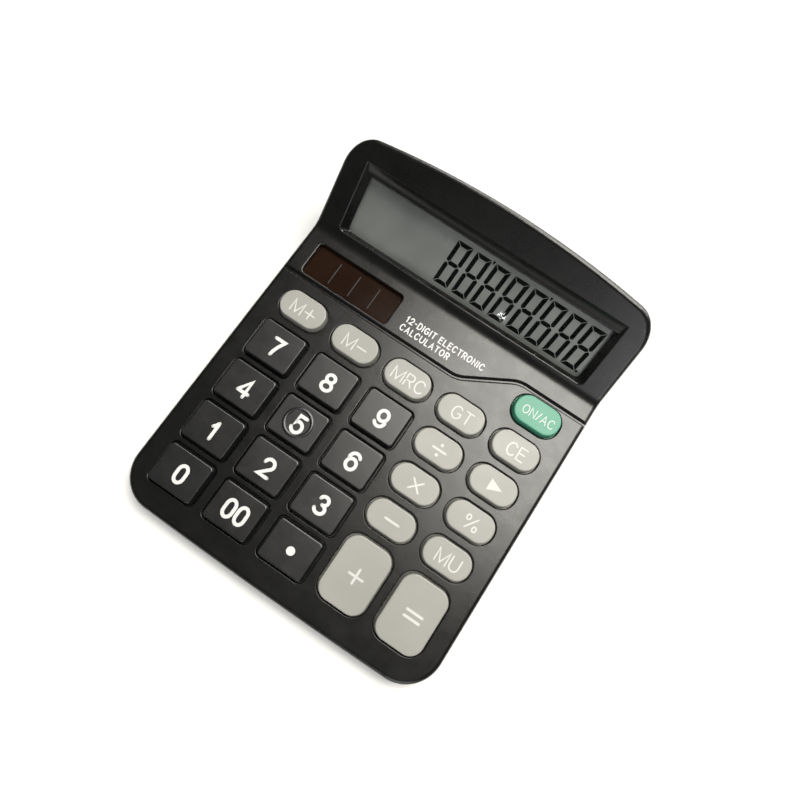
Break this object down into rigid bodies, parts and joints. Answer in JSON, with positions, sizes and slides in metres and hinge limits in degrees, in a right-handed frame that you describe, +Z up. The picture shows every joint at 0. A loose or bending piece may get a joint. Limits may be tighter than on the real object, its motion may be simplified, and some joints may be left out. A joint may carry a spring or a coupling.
{
  "type": "desktop calculator",
  "caption": "Desktop calculator with a tilted deck of square number keys and rounded function keys, a raised slanted display head, a small solar window and a sliding battery door.",
  "frame": {"origin": "middle of the footprint, on the surface that the rubber feet rest on", "axes": "+X to the user's right, +Y away from the user towards the display head, +Z up"},
  "size_m": [0.119, 0.1468, 0.0483],
  "materials": {
    "case_plastic": "charcoal black, satin gloss, very fine moulded texture",
    "number_key_plastic": "charcoal, satin",
    "function_key_plastic": "light warm grey, satin",
    "on_key_plastic": "teal green, satin",
    "legend_white": "printed or moulded-in white legend",
    "clear_plastic": "clear, polished",
    "lcd_glass": "grey-green liquid crystal panel with its reflector",
    "lcd_ink": "dark display segments",
    "holder_plastic": "black",
    "solar_glass": "dark brown cell behind glass",
    "board_laminate": "brown paper laminate",
    "black_epoxy": "cast epoxy",
    "can_aluminium": "sleeved can",
    "mat_rubber": "pale grey silicone rubber",
    "foot_rubber": "black, matte",
    "screw_steel": "zinc plated",
    "contact_steel": "nickel plated",
    "cell_jacket": "printed foil jacket, plain",
    "lead_red_plastic": "insulation",
    "lead_black_plastic": "insulation",
    "ribbon_film": "amber polyimide film"
  },
  "bodies": {
    "case": {"battery": "cell_jacket", "battery_contact": "contact_steel", "battery_lead_black": "lead_black_plastic", "battery_lead_red": "lead_red_plastic", "battery_spring": "contact_steel", "board_screws": "screw_steel", "bottom_cover": "case_plastic", "capacitor": "can_aluminium", "case_screws": "screw_steel", "chip_cover": "black_epoxy", "contact_strip": "mat_rubber", "display_board": "board_laminate", "display_holder": "holder_plastic", "display_screws": "screw_steel", "display_window": "clear_plastic", "key_mat": "mat_rubber", "lcd_panel": "lcd_glass", "main_board": "board_laminate", "ribbon_cable": "ribbon_film", "rubber_feet": "foot_rubber", "solar_cell": "solar_glass", "solar_leads": "lead_red_plastic", "solar_window": "clear_plastic", "top_cover": "case_plastic"},
    "key_0": {"key_0": "number_key_plastic"},
    "key_1": {"key_1": "number_key_plastic"},
    "key_2": {"key_2": "number_key_plastic"},
    "key_3": {"key_3": "number_key_plastic"},
    "key_4": {"key_4": "number_key_plastic"},
    "key_5": {"key_5": "number_key_plastic"},
    "key_6": {"key_6": "number_key_plastic"},
    "key_7": {"key_7": "number_key_plastic"},
    "key_8": {"key_8": "number_key_plastic"},
    "key_9": {"key_9": "number_key_plastic"},
    "key_clear_entry": {"key_clear_entry": "function_key_plastic"},
    "key_divide": {"key_divide": "function_key_plastic"},
    "key_double_0": {"key_double_0": "number_key_plastic"},
    "key_equals": {"key_equals": "function_key_plastic"},
    "key_grand_total": {"key_grand_total": "function_key_plastic"},
    "key_mark_up": {"key_mark_up": "function_key_plastic"},
    "key_memory_minus": {"key_memory_minus": "function_key_plastic"},
    "key_memory_plus": {"key_memory_plus": "function_key_plastic"},
    "key_memory_recall": {"key_memory_recall": "function_key_plastic"},
    "key_minus": {"key_minus": "function_key_plastic"},
    "key_on_clear": {"key_on_clear": "on_key_plastic"},
    "key_percent": {"key_percent": "function_key_plastic"},
    "key_plus": {"key_plus": "function_key_plastic"},
    "key_point": {"key_point": "number_key_plastic"},
    "key_step_back": {"key_step_back": "function_key_plastic"},
    "key_times": {"key_times": "function_key_plastic"},
    "battery_door": {"battery_door": "case_plastic"}
  },
  "joints": [
    {"name": "key_0_press", "type": "slide", "parent": "case", "child": "key_0", "axis": [0, 0.0872, -0.9962], "range_m": [0, 0.0012], "stiffness_N_per_m": 300, "deforming": ["key_mat"]},
    {"name": "key_1_press", "type": "slide", "parent": "case", "child": "key_1", "axis": [0, 0.0872, -0.9962], "range_m": [0, 0.0012], "stiffness_N_per_m": 300, "deforming": ["key_mat"]},
    {"name": "key_2_press", "type": "slide", "parent": "case", "child": "key_2", "axis": [0, 0.0872, -0.9962], "range_m": [0, 0.0012], "stiffness_N_per_m": 300, "deforming": ["key_mat"]},
    {"name": "key_3_press", "type": "slide", "parent": "case", "child": "key_3", "axis": [0, 0.0872, -0.9962], "range_m": [0, 0.0012], "stiffness_N_per_m": 300, "deforming": ["key_mat"]},
    {"name": "key_4_press", "type": "slide", "parent": "case", "child": "key_4", "axis": [0, 0.0872, -0.9962], "range_m": [0, 0.0012], "stiffness_N_per_m": 300, "deforming": ["key_mat"]},
    {"name": "key_5_press", "type": "slide", "parent": "case", "child": "key_5", "axis": [0, 0.0872, -0.9962], "range_m": [0, 0.0012], "stiffness_N_per_m": 300, "deforming": ["key_mat"]},
    {"name": "key_6_press", "type": "slide", "parent": "case", "child": "key_6", "axis": [0, 0.0872, -0.9962], "range_m": [0, 0.0012], "stiffness_N_per_m": 300, "deforming": ["key_mat"]},
    {"name": "key_7_press", "type": "slide", "parent": "case", "child": "key_7", "axis": [0, 0.0872, -0.9962], "range_m": [0, 0.0012], "stiffness_N_per_m": 300, "deforming": ["key_mat"]},
    {"name": "key_8_press", "type": "slide", "parent": "case", "child": "key_8", "axis": [0, 0.0872, -0.9962], "range_m": [0, 0.0012], "stiffness_N_per_m": 300, "deforming": ["key_mat"]},
    {"name": "key_9_press", "type": "slide", "parent": "case", "child": "key_9", "axis": [0, 0.0872, -0.9962], "range_m": [0, 0.0012], "stiffness_N_per_m": 300, "deforming": ["key_mat"]},
    {"name": "key_clear_entry_press", "type": "slide", "parent": "case", "child": "key_clear_entry", "axis": [0, 0.0872, -0.9962], "range_m": [0, 0.0012], "stiffness_N_per_m": 300, "deforming": ["key_mat"]},
    {"name": "key_divide_press", "type": "slide", "parent": "case", "child": "key_divide", "axis": [0, 0.0872, -0.9962], "range_m": [0, 0.0012], "stiffness_N_per_m": 300, "deforming": ["key_mat"]},
    {"name": "key_double_0_press", "type": "slide", "parent": "case", "child": "key_double_0", "axis": [0, 0.0872, -0.9962], "range_m": [0, 0.0012], "stiffness_N_per_m": 300, "deforming": ["key_mat"]},
    {"name": "key_equals_press", "type": "slide", "parent": "case", "child": "key_equals", "axis": [0, 0.0872, -0.9962], "range_m": [0, 0.0012], "stiffness_N_per_m": 300, "deforming": ["key_mat"]},
    {"name": "key_grand_total_press", "type": "slide", "parent": "case", "child": "key_grand_total", "axis": [0, 0.0872, -0.9962], "range_m": [0, 0.0012], "stiffness_N_per_m": 300, "deforming": ["key_mat"]},
    {"name": "key_mark_up_press", "type": "slide", "parent": "case", "child": "key_mark_up", "axis": [0, 0.0872, -0.9962], "range_m": [0, 0.0012], "stiffness_N_per_m": 300, "deforming": ["key_mat"]},
    {"name": "key_memory_minus_press", "type": "slide", "parent": "case", "child": "key_memory_minus", "axis": [0, 0.0872, -0.9962], "range_m": [0, 0.0012], "stiffness_N_per_m": 300, "deforming": ["key_mat"]},
    {"name": "key_memory_plus_press", "type": "slide", "parent": "case", "child": "key_memory_plus", "axis": [0, 0.0872, -0.9962], "range_m": [0, 0.0012], "stiffness_N_per_m": 300, "deforming": ["key_mat"]},
    {"name": "key_memory_recall_press", "type": "slide", "parent": "case", "child": "key_memory_recall", "axis": [0, 0.0872, -0.9962], "range_m": [0, 0.0012], "stiffness_N_per_m": 300, "deforming": ["key_mat"]},
    {"name": "key_minus_press", "type": "slide", "parent": "case", "child": "key_minus", "axis": [0, 0.0872, -0.9962], "range_m": [0, 0.0012], "stiffness_N_per_m": 300, "deforming": ["key_mat"]},
    {"name": "key_on_clear_press", "type": "slide", "parent": "case", "child": "key_on_clear", "axis": [0, 0.0872, -0.9962], "range_m": [0, 0.0012], "stiffness_N_per_m": 300, "deforming": ["key_mat"]},
    {"name": "key_percent_press", "type": "slide", "parent": "case", "child": "key_percent", "axis": [0, 0.0872, -0.9962], "range_m": [0, 0.0012], "stiffness_N_per_m": 300, "deforming": ["key_mat"]},
    {"name": "key_plus_press", "type": "slide", "parent": "case", "child": "key_plus", "axis": [0, 0.0872, -0.9962], "range_m": [0, 0.0012], "stiffness_N_per_m": 300, "deforming": ["key_mat"]},
    {"name": "key_point_press", "type": "slide", "parent": "case", "child": "key_point", "axis": [0, 0.0872, -0.9962], "range_m": [0, 0.0012], "stiffness_N_per_m": 300, "deforming": ["key_mat"]},
    {"name": "key_step_back_press", "type": "slide", "parent": "case", "child": "key_step_back", "axis": [0, 0.0872, -0.9962], "range_m": [0, 0.0012], "stiffness_N_per_m": 300, "deforming": ["key_mat"]},
    {"name": "key_times_press", "type": "slide", "parent": "case", "child": "key_times", "axis": [0, 0.0872, -0.9962], "range_m": [0, 0.0012], "stiffness_N_per_m": 300, "deforming": ["key_mat"]},
    {"name": "battery_door_slide", "type": "slide", "parent": "case", "child": "battery_door", "axis": [0, 1, 0], "range_m": [0, 0.026]}
  ]
}
